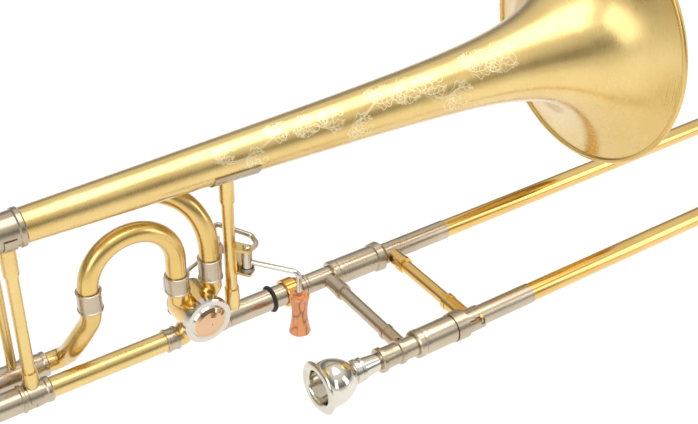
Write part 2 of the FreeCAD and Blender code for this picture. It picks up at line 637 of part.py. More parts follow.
named("neck_pipe",
      tube("tenon_radius + 0.35", "tenon_radius - 1.2", "barrel_start_x - 8", ("8", "0", "0")))

# ---------------------------------------------------------------- inner hand slide
INNER = "(slide_od / 2 - slide_wall - slide_fit)"
INNER_THIN = INNER + " - stocking_step"
INNER_BORE = INNER + " - 0.7"
SIDES = ("0", "-slide_spacing")     # the bell side and the mouthpiece side
BARREL_BORE = "slide_od / 2 + sleeve_wall + 0.35"
for side_y in SIDES:
    lock_side = side_y == SIDES[1]
    start_x = "barrel_start_x + barrel_step" if lock_side else "barrel_start_x"
    barrel_long = "(barrel_end_x - (%s))" % start_x
    profile = [("0", INNER_THIN), ("0", "barrel_radius - 0.6"), ("1", "barrel_radius + 0.3"),
               ("5.5", "barrel_radius + 0.3"), ("6.5", "barrel_radius - 0.4"), ("9", "barrel_radius")]
    if lock_side:
        profile += [(barrel_long + " - 9.4", "barrel_radius")]
        profile += [(barrel_long + " - 9.4", "barrel_radius - 1.2")]
        profile += [(barrel_long, "barrel_radius - 1.2")]
    else:
        profile += [(barrel_long + " - 8", "barrel_radius"), (barrel_long + " - 7.4", "barrel_radius + 1.3"),
                    (barrel_long + " - 1.6", "barrel_radius + 1.6"), (barrel_long, "barrel_radius + 0.6")]
    profile += [(barrel_long, BARREL_BORE), ("10", BARREL_BORE), ("10", INNER_THIN)]
    turned("cork_barrels", profile, (start_x, side_y, "0"))
    named("inner_slide_tubes",
          tube(INNER_THIN, INNER_BORE, "inner_end_x - stocking_length - (%s)" % start_x,
               (start_x, side_y, "0")))
    named("slide_stockings",
          tube(INNER, INNER_BORE, "stocking_length", ("inner_end_x - stocking_length", side_y, "0")))
    turned("slide_corks",
           [("0", INNER_THIN), ("0", BARREL_BORE + " - 0.05"), ("4", BARREL_BORE + " - 0.05"),
            ("4", INNER_THIN)],
           ("%s + 10.05" % start_x, side_y, "0"))

MOUTH_LONG = "(barrel_start_x + barrel_step - mouth_receiver_x)"
turned("mouthpiece_receiver",
       [("0", "shank_tip_radius + 0.8"), ("0", "8.6"), ("0.7", "9.6"), ("3.6", "9.6"), ("4.4", "8.4"),
        ("12", "8"),
        ("17", "8"), ("17.6", "9.4"), ("20.4", "9.4"), ("21", "8.2"), (MOUTH_LONG, "8.2"),
        (MOUTH_LONG, "5.9"),
        (MOUTH_LONG + " - 1", "5.9"), ("29.4", "shank_tip_radius + shank_fit")],
       ("mouth_receiver_x", "-slide_spacing", "0"))
named("leadpipe",
      tube(INNER_BORE + " - 0.1", INNER_BORE + " - 0.6", "185",
           ("barrel_start_x + barrel_step", "-slide_spacing", "0")))

# inner brace: the left hand's grip between the neck pipe and the mouthpiece receiver
named("inner_brace",
      cut(fused(rod("grip_radius", "slide_spacing", ("inner_brace_x", "0", "0"), "-y"),
                rod("grip_radius + 1.1", "22", ("inner_brace_x", "0", "0"), "-y"),
                rod("grip_radius + 1.6", "3", ("inner_brace_x", "-22", "0"), "-y"),
                rod("grip_radius + 0.6", "22", ("inner_brace_x", "-slide_spacing + 22", "0"), "-y"),
                rod("grip_radius + 1.1", "3", ("inner_brace_x", "-slide_spacing + 25", "0"), "-y")),
          rod("tenon_radius + 0.4", "40", ("0", "0", "0")),
          rod("barrel_radius + 0.35", "20", ("barrel_start_x", "0", "0")),
          rod("8.25", "20", ("inner_brace_x - 11", "-slide_spacing", "0")),
          rod("9.65", "12", ("mouth_receiver_x + 12", "-slide_spacing", "0")),
          rod("barrel_radius + 0.35", "20", ("barrel_start_x + barrel_step", "-slide_spacing", "0"))))

# ---------------------------------------------------------------- lock ring of the hand slide
LOCK_X = "barrel_end_x - 9"
LOCK_BORE = "barrel_radius - 0.9"
PIN_X = "barrel_end_x + 13"
tongue = cut(
    common(tube("barrel_radius + 0.9", LOCK_BORE, "25", (LOCK_X, "-slide_spacing", "0")),
           block(("25", "12", "7"), (LOCK_X, "-slide_spacing - 12", "-1.6"))),
    block(("3.6", "8", "4"), (PIN_X + " - 1.8", "-slide_spacing - 14", "1.7")))
named("slide_lock_ring",
      fused(tube("barrel_radius + 0.9", LOCK_BORE, "11", (LOCK_X, "-slide_spacing", "0")), tongue))
PIN_TURN = FreeCAD.Rotation(FreeCAD.Vector(0, 0, 1), FreeCAD.Vector(0, -math.cos(math.radians(43)),
                                                                     math.sin(math.radians(43))))
lock_pin_rod = doc.addObject("Part::Cylinder", "LockPin")
bind(lock_pin_rod, Radius="1.5", Height="barrel_radius + 1.2")
place(lock_pin_rod, (PIN_X, "-slide_spacing", "0"), PIN_TURN)
named("slide_lock_pin",
      cut(lock_pin_rod, rod("slide_od / 2 + sleeve_wall", "20", (PIN_X + " - 10", "-slide_spacing", "0"))))

# ---------------------------------------------------------------- outer hand slide
OUTER_LONG = "bow_x - 8 - outer_start_x"
for side_y in SIDES:
    named("outer_slide_tubes",
          tube("slide_od / 2", "slide_od / 2 - slide_wall", OUTER_LONG, ("outer_start_x", side_y, "0")))
    sleeve_end = "sleeve_end_x" if side_y == SIDES[0] else "sleeve_end_x + sleeve_step"
    named("outer_slide_sleeves",
          tube("slide_od / 2 + sleeve_wall", "slide_od / 2", "%s - outer_start_x" % sleeve_end,
               ("outer_start_x", side_y, "0")))

SLEEVE_OUTER = "slide_od / 2 + sleeve_wall"


def half_saddle(side_y, front_side):
    """A half shell that carries the outer brace on one slide tube."""
    half = block(("22", "14", "28"), ("outer_brace_x - 11", side_y + (" - 14" if front_side else ""), "-14"))
    shell = tube(SLEEVE_OUTER + " + 1", SLEEVE_OUTER, "15", ("outer_brace_x - 7", side_y, "0"))
    return named("outer_brace_saddles", common(shell, half))


half_saddle("0", True)
half_saddle("-slide_spacing", False)
named("outer_brace",
      cut(fused(rod("grip_radius", "slide_spacing", ("outer_brace_x", "0", "0"), "-y"),
                rod("grip_radius + 1.2", "19", ("outer_brace_x", "0", "0"), "-y"),
                rod("grip_radius + 1.7", "4", ("outer_brace_x", "-19", "0"), "-y"),
                rod("grip_radius + 1.2", "24", ("outer_brace_x", "-slide_spacing + 24", "0"), "-y"),
                rod("grip_radius + 1.7", "4", ("outer_brace_x", "-slide_spacing + 28", "0"), "-y")),
          *[rod(SLEEVE_OUTER + " + 1.01", "60", ("outer_brace_x - 30", side_y, "0"))
            for side_y in SIDES]))

BOW_TURN = FreeCAD.Rotation(FreeCAD.Vector(0, 0, 1), -90)
BOW_CENTRE = ("bow_x + 14", "-slide_spacing / 2", "0")


def slide_bow_form(radius):
    legs = [rod(radius, "22", ("bow_x - 8", side_y, "0")) for side_y in SIDES]
    return fused(ring("slide_spacing / 2", radius, BOW_CENTRE, BOW_TURN, 180), *legs)


nipple = rod("2.6", "slide_od / 2 + 3", ("key_nipple_x", "0", "0"), "-z")
named("slide_bow",
      cut(slide_bow_form("slide_od / 2"), slide_bow_form("slide_od / 2 - slide_wall"),
          rod("1.5", "20", ("key_nipple_x", "0", "0"), "-z")))
named("water_key_mount",
      cut(nipple, rod("1.5", "20", ("key_nipple_x", "0", "0"), "-z"),
          rod("slide_od / 2", "20", ("bow_x - 8", "0", "0"))))
for side_y in SIDES:
    turned("bow_ferrules", banded("slide_od / 2", "slide_od / 2 + 1", "20", "0.6", "2.6"),
           ("bow_x - 18", side_y, "0"))
BUMPER_X = "bow_x + 14 + slide_spacing / 2 + slide_od / 2"
turned("bow_bumper_socket",
       [("0", "0"), ("0", "7"), ("1", "7.6"), ("7.2", "7.2"), ("7.2", "5.3"), ("5.2", "5.2"), ("5.2", "0")],
       (BUMPER_X + " + 0.02", "-slide_spacing / 2", "0"))
turned("slide_bumper",
       [("0", "0"), ("0", "5.1"), ("2", "5.1"), ("2", "6.4"), ("6.6", "6"), ("8", "4.8"), ("8", "0")],
       (BUMPER_X + " + 5.3", "-slide_spacing / 2", "0"))

# ---------------------------------------------------------------- water key
KEY_Z = "-slide_od / 2 - 5.4"
named("water_key_mount",
      cut(fused(block(("8", "3", "11"), ("key_pivot_x - 4", "-6.4", "-slide_od / 2 - 7.4")),
                block(("8", "3", "11"), ("key_pivot_x - 4", "6", "-slide_od / 2 - 7.4"))),
          rod("slide_od / 2 + 1.01", "20", ("key_pivot_x - 10", "0", "0")),
          rod("pivot_radius", "20", ("key_pivot_x", "-10", KEY_Z), "y")))
named("water_key_mount", rod("pivot_radius", "15.4", ("key_pivot_x", "-6.4", KEY_Z), "y"))
named("water_key",
      cut(fused(rod("2.5", "6", ("key_pivot_x", "-3", KEY_Z), "y"),
                block(("key_nipple_x - key_pivot_x", "5", "2"), ("key_pivot_x", "-2.5", KEY_Z + " - 2.2")),
                rod("4.2", "2", ("key_nipple_x", "0", KEY_Z + " - 2.2"), "z"),
                block(("26", "5", "1.8"), ("key_pivot_x - 26", "-2.5", KEY_Z + " - 2")),
                rod("4.6", "1.8", ("key_pivot_x - 28", "0", KEY_Z + " - 2"), "z")),
          rod("pivot_radius + pivot_fit", "20", ("key_pivot_x", "-10", KEY_Z), "y")))
named("water_key_cork", rod("3.7", "2.2", ("key_nipple_x", "0", KEY_Z + " - 0.18"), "z"))

# ---------------------------------------------------------------- tuning slides
def tuning_slide(prefix, bow_at, back, top, bow_od, legs, leg_end):
    """Two inner legs, two ferrules, the bow between them and a brace across the bow.
    Each leg lists its height, the outer leg's diameter and where it stops inside."""
    bow_radius = "(%s) / 2" % top
    turn = FreeCAD.Rotation(FreeCAD.Vector(0, 1, 0), -90).multiply(UPRIGHT)
    named(prefix + "_bow", bend("%s / 2" % bow_od, "%s / 2 - main_wall" % bow_od, bow_radius,
                                (bow_at, back, bow_radius), turn))
    for height, leg_od, stop in legs:
        inner = "(%s / 2 - leg_wall - leg_fit)" % leg_od
        ferrule_end = "(%s - 0.5 - (%s) + 10)" % (leg_end, bow_at)
        named(prefix + "_inner_legs",
              tube(inner, inner + " - 0.7", "%s - (%s)" % (stop, bow_at), (bow_at, back, height)))
        turned(prefix + "_ferrules",
               [("10.02", "%s / 2" % bow_od), ("8", "%s / 2 + 0.9" % bow_od),
                ("8.6", "%s / 2 + 1.5" % leg_od),
                ("11", "%s / 2 + 1.5" % leg_od), ("12", "%s / 2 + 0.6" % leg_od),
                (ferrule_end + " - 3", "%s / 2 + 0.4" % leg_od),
                (ferrule_end + " - 2.4", "%s / 2 + 1.2" % leg_od), (ferrule_end, "%s / 2 + 1.2" % leg_od),
                (ferrule_end, inner), ("10.02", inner)],
               ("%s - 10" % bow_at, back, height))
    named(prefix + "_bow",
          cut(rod("brace_radius - 0.6", top, ("%s - 6" % bow_at, back, "0"), "z"),
              ring(bow_radius, "%s / 2 + 0.01" % bow_od, (bow_at, back, bow_radius), turn, 180)))


tuning_slide("tuning", "tuning_bow_x", "0", "bell_height", "(main_od + 1.4)",
             (("bell_height", "upper_leg_od", "bell_tail_x - 6"),
              ("0", "lower_leg_od", "lower_ferrule_start_x")), "leg_end_x")
tuning_slide("f_tuning", "f_bow_x", "f_back", "f_upper_height", "main_od",
             (("f_upper_height", "f_leg_od", "f_upper_end_x - 15"),
              ("0", "f_leg_od", "f_lower_end_x - 15")), "f_leg_end_x")

# ---------------------------------------------------------------- trigger
BRACKET_ANGLE = math.atan2(number("hinge_y"), number("hinge_x - front_brace_x"))
BRACKET_TURN = FreeCAD.Rotation(FreeCAD.Vector(0, 0, 1), math.degrees(BRACKET_ANGLE))
HINGE_REACH = "sqrt((hinge_x - front_brace_x) ^ 2 + hinge_y ^ 2)"


def bracket_block(size, along_text, low):
    """A block that points from the front brace to the hinge."""
    angle = "atan2(hinge_y; hinge_x - front_brace_x)"
    half = "(%s) / 2" % size[1]
    start = ("front_brace_x + (%s) * cos(%s) + %s * sin(%s)" % (along_text, angle, half, angle),
             "(%s) * sin(%s) - %s * cos(%s)" % (along_text, angle, half, angle), low)
    return block(size, start, BRACKET_TURN)


ARM_LONG = HINGE_REACH + " + 4"
named("trigger_bracket",
      cut(fused(bracket_block(("7.4", "9", "hinge_high_z - hinge_low_z + 5"), "0", "hinge_low_z - 2.5"),
                bracket_block((ARM_LONG, "9", "2.3"), "0", "hinge_low_z - 2.5"),
                bracket_block((ARM_LONG, "9", "2.3"), "0", "hinge_high_z + 0.2")),
          rod("brace_radius + 0.01", "60", ("front_brace_x", "0", "hinge_low_z - 20"), "z"),
          block(("12", "30", "60"), ("front_brace_x - 12", "-15", "hinge_low_z - 20")),
          rod("pivot_radius + 0.01", "60", ("hinge_x", "hinge_y", "hinge_low_z - 20"), "z")))
turned("trigger_hinge_screw",
       [("0", "0"), ("0", "pivot_radius"), ("hinge_high_z - hinge_low_z + 5.2", "pivot_radius"),
        ("hinge_high_z - hinge_low_z + 5.2", "3"), ("hinge_high_z - hinge_low_z + 6.4", "3"),
        ("hinge_high_z - hinge_low_z + 7", "2"), ("hinge_high_z - hinge_low_z + 7", "0")],
       ("hinge_x", "hinge_y", "hinge_low_z - 2.6"), "z")

# the lever: a barrel with an arm round the back of the brace and an arm to the grip
barrel = rod("4", "hinge_high_z - hinge_low_z - 0.2", ("hinge_x", "hinge_y", "hinge_low_z + 0.1"), "z")
barrel_hole = rod("pivot_radius + pivot_fit", "60", ("hinge_x", "hinge_y", "hinge_low_z - 20"), "z")
upper_arm = doc.addObject("Part::Feature", "UpperArm")
upper_arm.Shape = bent_rod(number("lever_rod"), [
    ("hinge_x + 1", "hinge_y + 0.6", "hinge_high_z - 2.4"),
    ("hinge_x + 12", "hinge_y + 5", "hinge_high_z - 1.9"),
    ("hinge_x + 11.4", "hinge_y + 13", "hinge_high_z + 1.4"), ("ball_x - 3", "ball_y", "hinge_high_z + 13"),
    ("ball_x", "ball_y", "ball_z + 6")], 4)
lower_arm = doc.addObject("Part::Feature", "LowerArm")
lower_arm.Shape = bent_rod(number("lever_rod"), [
    ("hinge_x + 1.5", "hinge_y - 1.5", "hinge_high_z - 10"), ("grip_x", "grip_y", "grip_top_z + 21"),
    ("grip_x", "grip_y", "grip_top_z - 8")], 5)
named("trigger_lever",
      cut(fused(barrel, upper_arm, lower_arm, rod("2.6", "4", ("ball_x", "ball_y", "ball_z + 4.46"), "z"),
                rod("pivot_radius", "8.6", ("ball_x", "ball_y", "ball_z - 4"), "z")), barrel_hole))
GRIP_STEPS = 14
grip_outline = [("0", "lever_rod + 0.01"), ("0", "grip_end_radius - 1.4")]
for step in range(GRIP_STEPS + 1):
    flare = abs(step / GRIP_STEPS * 2 - 0.9) ** 1.7
    grip_outline.append(("0.8 + (grip_length - 1.6) * %.5f" % (step / GRIP_STEPS),
                         "grip_waist + (grip_end_radius - grip_waist) * %.5f" % flare))
grip_outline += [("grip_length", "grip_end_radius - 1"), ("grip_length", "0"), ("8.05", "0"),
                 ("8.05", "lever_rod + 0.01")]
turned("trigger_grip", grip_outline, ("grip_x", "grip_y", "grip_top_z"), "-z")

# the link: an eye on the lever's ball, a rod, and a slotted eye on the stop arm's stud
EYE_BALL = ("ball_x", "ball_y", "ball_z")
LINK_LOW = (STUD[0] + " + 5.2", "ball_y + 6.5", STUD[2] + " + 3")
named("link_rod",
      cut(fused(ball("4.6", EYE_BALL), slanted_rod("1.5", EYE_BALL, LINK_LOW),
                rod("4.1", "9", ("ball_x", "ball_y - 5.6", "ball_z"), "y"),
                block(("9.4", "3", "13.4"), (STUD[0] + " - 4.7", "ball_y + 5", STUD[2] + " - 4.2"))),
          rod("pivot_radius + pivot_fit", "14", ("ball_x", "ball_y", "ball_z - 7"), "z"),
          block(("pivot_radius * 2 + 1.4", "10", "pivot_radius * 2 + 4.9"),
                (STUD[0] + " - pivot_radius - 0.7", "ball_y + 1", STUD[2] + " - pivot_radius - 0.5"))))

# ---------------------------------------------------------------- springs
# the coils are modelled as their separate turns
for turn_index in range(4):
    turn_z = "hinge_low_z + 0.27 + %d * 1.1" % turn_index
    named("trigger_spring", ring("4.8", "0.45", ("hinge_x", "hinge_y", turn_z)))
for turn_index in range(3):
    named("water_key_spring",
          ring("1.75", "0.35", ("key_pivot_x", "3.9 + %d * 0.85" % turn_index, KEY_Z), TURNS["y"]))

# ---------------------------------------------------------------- mouthpiece
def mouthpiece_solid():
    """Rim, bowl, bead and shank outside; cup, throat and backbore inside."""
    rim = number("mouthpiece_rim")
    cup = number("cup_radius")
    length = number("mouthpiece_length")
    tip = number("shank_tip_radius")
    outside = [(2.2, rim), (5.5, rim - 1.7), (9, rim - 2.6), (14, rim - 2.9), (20, rim - 4.4),
               (25.5, rim - 7.4), (29.3, rim - 10.6), (31, 8.6)]
    inside = [(2.4, cup), (9, cup - 1.2), (15, cup - 4), (20, cup - 8), (24, 3.4)]

    def at(pair):
        return FreeCAD.Vector(pair[0], 0, pair[1])

    bowl = Part.BSplineCurve()
    bowl.interpolate([at(pair) for pair in outside])
    hollow = Part.BSplineCurve()
    hollow.interpolate([at(pair) for pair in inside][::-1])
    taper_end = (length - 28, tip + 28 * 0.025)
    steps = [outside[-1], (31.6, 9.3), (34, 9.3), (34.6, 8.2), (36, 8.2), (36.6, 9), (38.6, 9), (39.2, 7.9),
             taper_end, (length, tip), (length, tip - 1), inside[-1]]
    edges = [Part.Arc(at(inside[0]), at((0, (rim + cup) / 2)), at(outside[0])).toShape(), bowl.toShape()]
    edges += [Part.makeLine(at(a), at(b)) for a, b in zip(steps, steps[1:])]
    edges.append(hollow.toShape())
    return Part.Face(Part.Wire(edges)).revolve(FreeCAD.Vector(), FreeCAD.Vector(1, 0, 0), 360)


mouthpiece = doc.addObject("Part::Feature", "Mouthpiece")
mouthpiece.Shape = mouthpiece_solid()
place(mouthpiece, ("mouthpiece_face_x", "-slide_spacing", "0"))
named("mouthpiece", mouthpiece)

# ---------------------------------------------------------------- checks and files
for label, pieces in SUBPARTS.items():
    if len(pieces) > 1:
        group = doc.addObject("Part::Compound", "Group")
        group.Links = pieces
        pieces[:] = [group]
    pieces[0].Label = label
doc.recompute()
faults = []
for item in doc.Objects:
    if "Invalid" in item.State or "Error" in item.State:
        faults.append("%s (%s) is in state %s" % (item.Name, item.Label, item.State))
for label, (piece,) in SUBPARTS.items():
    if piece.Shape.isNull() or not piece.Shape.isValid() or not piece.Shape.Solids:
        faults.append("%s has no valid solid" % label)
    if piece.Label != label:
        faults.append("the name %s is already taken" % label)
if faults:
    raise RuntimeError("; ".join(faults))
os.makedirs("parts", exist_ok=True)
for label, (piece,) in SUBPARTS.items():
    piece.Shape.exportStep("parts/%s.step" % label)
print("%d sub-parts written" % len(SUBPARTS))
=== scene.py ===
"""The looks of a tenor trombone with an F attachment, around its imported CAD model.
Blender lengths are in metres. Names that end in _MM hold millimetres."""
import bpy
import math
import numpy as np
from mathutils import Matrix, Vector


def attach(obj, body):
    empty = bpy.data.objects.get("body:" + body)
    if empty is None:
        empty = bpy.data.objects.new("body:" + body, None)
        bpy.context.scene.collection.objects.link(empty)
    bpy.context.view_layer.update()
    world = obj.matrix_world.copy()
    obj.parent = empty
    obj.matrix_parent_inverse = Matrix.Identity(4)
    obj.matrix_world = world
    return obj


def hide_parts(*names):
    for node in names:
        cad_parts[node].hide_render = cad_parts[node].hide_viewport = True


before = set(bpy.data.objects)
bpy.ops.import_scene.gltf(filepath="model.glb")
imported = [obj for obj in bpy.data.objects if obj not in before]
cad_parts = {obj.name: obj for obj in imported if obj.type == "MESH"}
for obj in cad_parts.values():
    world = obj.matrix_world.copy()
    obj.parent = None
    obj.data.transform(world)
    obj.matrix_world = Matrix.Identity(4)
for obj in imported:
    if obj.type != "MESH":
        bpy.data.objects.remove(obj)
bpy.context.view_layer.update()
MM = 0.001

# ---------------------------------------------------------------- where things are
BELL_AXIS_Z_MM = 140.0
BELL_MOUTH_X_MM = 285.0
BELL_TAIL_X_MM = -232.0
FLOOR_Z_MM = -330.0


# ---------------------------------------------------------------- materials
def linear(code):
    """An sRGB hex colour as linear red, green, blue and alpha."""
    parts = [int(code[place:place + 2], 16) / 255 for place in (1, 3, 5)]
    return [part / 12.92 if part <= 0.04045 else ((part + 0.055) / 1.055) ** 2.4 for part in parts] + [1.0]


def add(tree, kind, wires=None, values=None, **settings):
    """Adds a node. Wires maps an input to the socket that feeds it, values maps an
    input to a constant, and settings are the node's own fields."""
    node = tree.nodes.new(kind)
    for field, value in settings.items():
        setattr(node, field, value)
    for place, value in (values or {}).items():
        node.inputs[place].default_value = value
    for place, socket in (wires or {}).items():
        tree.links.new(socket, node.inputs[place])
    return node


def new_finish(name):
    """An empty material, its node tree, its shader and its object coordinates."""
    finish = bpy.data.materials.new(name)
    finish.use_nodes = True
    tree = finish.node_tree
    tree.nodes.clear()
    shader = add(tree, "ShaderNodeBsdfPrincipled")
    add(tree, "ShaderNodeOutputMaterial", {"Surface": shader.outputs["BSDF"]})
    where = add(tree, "ShaderNodeTexCoord").outputs["Object"]
    return finish, tree, shader, where


def noise(tree, where, per_metre, detail=3.0, roughness=0.5):
    """A noise whose coordinates are stretched by three counts per metre."""
    stretched = add(tree, "ShaderNodeMapping", {"Vector": where}, {"Scale": per_metre}).outputs["Vector"]
    return add(tree, "ShaderNodeTexNoise", {"Vector": stretched},
               {"Scale": 1.0, "Detail": detail, "Roughness": roughness}).outputs["Fac"]


def ramp(tree, value, low, high, from_low=0.35, from_high=0.65):
    """Stretches a value to run from low to high."""
    return add(tree, "ShaderNodeMapRange", {"Value": value},
               {"From Min": from_low, "From Max": from_high, "To Min": low, "To Max": high}).outputs["Result"]


def blend_colours(tree, share, first, second):
    """A mix of two colours by a share from 0 to 1."""
    mixer = add(tree, "ShaderNodeMix", data_type="RGBA")
    mixer.inputs[6].default_value = linear(first)
    mixer.inputs[7].default_value = linear(second)
    tree.links.new(share, mixer.inputs[0])
    return mixer.outputs[2]


def metal(name, light, dark, rough, hairline="", hairline_depth=0.0, hairline_mm=0.16,
          patches_mm=60.0, lacquer=0.0):
    """A metal with slow patches of tone and, along one axis, fine brushed lines that
    run across that axis."""
    finish, tree, shader, where = new_finish(name)
    patch = noise(tree, where, [1000 / patches_mm] * 3, 3.0)
    colour = blend_colours(tree, ramp(tree, patch, 0.0, 1.0, 0.3, 0.7), light, dark)
    tree.links.new(colour, shader.inputs["Base Color"])
    shader.inputs["Metallic"].default_value = 1.0
    shader.inputs["Coat Weight"].default_value = lacquer
    shader.inputs["Coat Roughness"].default_value = rough * 0.7
    smudge = noise(tree, where, [1000 / (patches_mm * 0.4)] * 3, 4.0, 0.6)
    tone = ramp(tree, smudge, rough * 0.9, rough * 1.15)
    if hairline:
        counts = [2.0 / patches_mm * 1000] * 3
        counts["xyz".index(hairline)] = 1000 / hairline_mm
        line = noise(tree, where, counts, 2.0, 0.6)
        spread = add(tree, "ShaderNodeMath", {0: tone, 1: ramp(tree, line, -0.08 * rough, 0.1 * rough)},
                     operation="ADD")
        tone = spread.outputs[0]
        bump = add(tree, "ShaderNodeBump", {"Height": line},
                   {"Strength": 0.07, "Distance": hairline_depth * MM})
        tree.links.new(bump.outputs["Normal"], shader.inputs["Normal"])
    tree.links.new(tone, shader.inputs["Roughness"])
    return finish


# Brass, brushed with fine abrasive on the lathe and lacquered: pale yellow with a wide
# soft highlight, and faint lines round the tube
BRASS_LIGHT, BRASS_DARK = "#E2C683", "#D9BA72"
LACQUER = 0.7
brushed_brass = {axis: metal("brushed_lacquered_brass_" + axis, BRASS_LIGHT, BRASS_DARK, 0.27, axis, 0.012,
                             lacquer=LACQUER) for axis in "xz"}
# The same brass on bent tubes, rubbed by hand: no single direction of lines
rubbed_brass = metal("rubbed_lacquered_brass", "#DDBD74", "#D2AF62", 0.25, lacquer=LACQUER)
# Drawn brass, buffed before lacquering: deeper gold with a sharper highlight
buffed_brass = {axis: metal("buffed_lacquered_brass_" + axis, "#E4BF70", "#D9B060", 0.17, axis, 0.006,
                            lacquer=LACQUER) for axis in "xy"}
# Buffed red brass of the lock nut: orange gold
red_brass = metal("buffed_red_brass", "#E8B468", "#DFA24E", 0.13, "x", 0.004)
# Nickel silver tube, brushed and lacquered: warm grey with lines round the tube
brushed_nickel = {axis: metal("brushed_nickel_silver_" + axis, "#C6B9A3", "#B3A48E", 0.25, axis, 0.012)
                  for axis in "xyz"}
# Nickel plate, buffed: nearly white mirror with faint haze
nickel_plate = metal("buffed_nickel_plate", "#CFC8BC", "#BEB5A6", 0.10)
# Hard chrome, ground: cold white with lines round the tube
ground_chrome = metal("ground_hard_chrome", "#DADCDF", "#CDD0D4", 0.12, "x", 0.003)
# Silver plate, buffed: the whitest mirror, with soft tarnish in patches
silver_plate = metal("buffed_silver_plate", "#DAD6CB", "#CBC5B6", 0.09, patches_mm=14.0)
# Bronze of the rotor, machined: brown gold with tool lines
machined_bronze = metal("machined_bronze", "#CFA56E", "#B98C55", 0.3, "y", 0.02)
# Spring wire, drawn: grey
spring_wire = metal("drawn_spring_steel", "#A9A7A2", "#8F8D88", 0.3, patches_mm=6.0)

# Nitrile rubber, moulded: matt black with a soft sheen and a fine grain
rubber, tree, shader, where = new_finish("moulded_black_rubber")
grain = noise(tree, where, [1600] * 3, 2.0)
tree.links.new(blend_colours(tree, grain, "#121212", "#1E1D1D"), shader.inputs["Base Color"])
tree.links.new(ramp(tree, grain, 0.5, 0.65), shader.inputs["Roughness"])
bump = add(tree, "ShaderNodeBump", {"Height": grain}, {"Strength": 0.3, "Distance": 0.03 * MM})
tree.links.new(bump.outputs["Normal"], shader.inputs["Normal"])

# Ground cork: brown with dark grains of about 1 mm
cork, tree, shader, where = new_finish("ground_cork")
grain = noise(tree, where, [1100] * 3, 5.0, 0.7)
tree.links.new(blend_colours(tree, ramp(tree, grain, 0, 1, 0.4, 0.6), "#7A5532", "#C79A66"),
               shader.inputs["Base Color"])
shader.inputs["Roughness"].default_value = 0.9

# Olive wood, turned and oiled: orange brown with a few dark veins that wander along the grip
grip_wood, tree, shader, where = new_finish("turned_oiled_olive_wood")
sway = noise(tree, where, [60, 60, 30], 2.0)
push = add(tree, "ShaderNodeVectorMath", {0: sway}, {1: (0.016, 0.016, 0.0)}, operation="MULTIPLY")
shifted = add(tree, "ShaderNodeVectorMath", {0: where, 1: push.outputs[0]}, operation="ADD")
vein = noise(tree, shifted.outputs[0], [120, 120, 16], 1.5)
veins = add(tree, "ShaderNodeValToRGB", {"Fac": vein})
veins.color_ramp.elements[0].color = linear("#C8793F")
veins.color_ramp.elements[0].position = 0.0
veins.color_ramp.elements[1].color = linear("#DE965A")
veins.color_ramp.elements[1].position = 1.0
for place, code in ((0.43, "#D5884C"), (0.46, "#B96E39"), (0.47, "#4F2816"), (0.48, "#B96E39"),
                    (0.52, "#DA9055")):
    veins.color_ramp.elements.new(place).color = linear(code)
tree.links.new(veins.outputs["Color"], shader.inputs["Base Color"])
tree.links.new(ramp(tree, vein, 0.38, 0.3), shader.inputs["Roughness"])
pores = noise(tree, where, [900, 900, 180], 2.0)
bump = add(tree, "ShaderNodeBump", {"Height": pores}, {"Strength": 0.2, "Distance": 0.03 * MM})
tree.links.new(bump.outputs["Normal"], shader.inputs["Normal"])
shader.inputs["Coat Weight"].default_value = 0.25
shader.inputs["Coat Roughness"].default_value = 0.2

# The valve cap: buffed nickel plate whose dome within the rim is tinted rose, a painted reflection of warm
# surroundings rather than the plate's own colour
cap_plate_and_painted_reflection, tree, shader, where = new_finish("buffed_nickel_plate_with_rose_dome")
CAP_CENTRE_MM = (-88.0, 0.0, 19.0)
DOME_RADIUS_MM = 12.2
from_axis = add(tree, "ShaderNodeVectorMath", {0: where}, {1: [-value * MM for value in CAP_CENTRE_MM]},
                operation="ADD")
flat = add(tree, "ShaderNodeVectorMath", {0: from_axis.outputs[0]}, {1: (1, 0, 1)}, operation="MULTIPLY")
reach = add(tree, "ShaderNodeVectorMath", {0: flat.outputs[0]}, operation="LENGTH").outputs["Value"]
painted_reflection_share = ramp(tree, reach, 1.0, 0.0, DOME_RADIUS_MM * MM, (DOME_RADIUS_MM + 0.5) * MM)
# Painted reflection: the dome within the rim gets the rose colour in place of a warm reflection, while the
# flange keeps the plain nickel colour
tree.links.new(blend_colours(tree, painted_reflection_share, "#CFC8BC", "#D6B08C"), shader.inputs["Base Color"])
shader.inputs["Metallic"].default_value = 1.0
haze = noise(tree, where, [90] * 3, 3.0)
tree.links.new(ramp(tree, haze, 0.07, 0.12), shader.inputs["Roughness"])

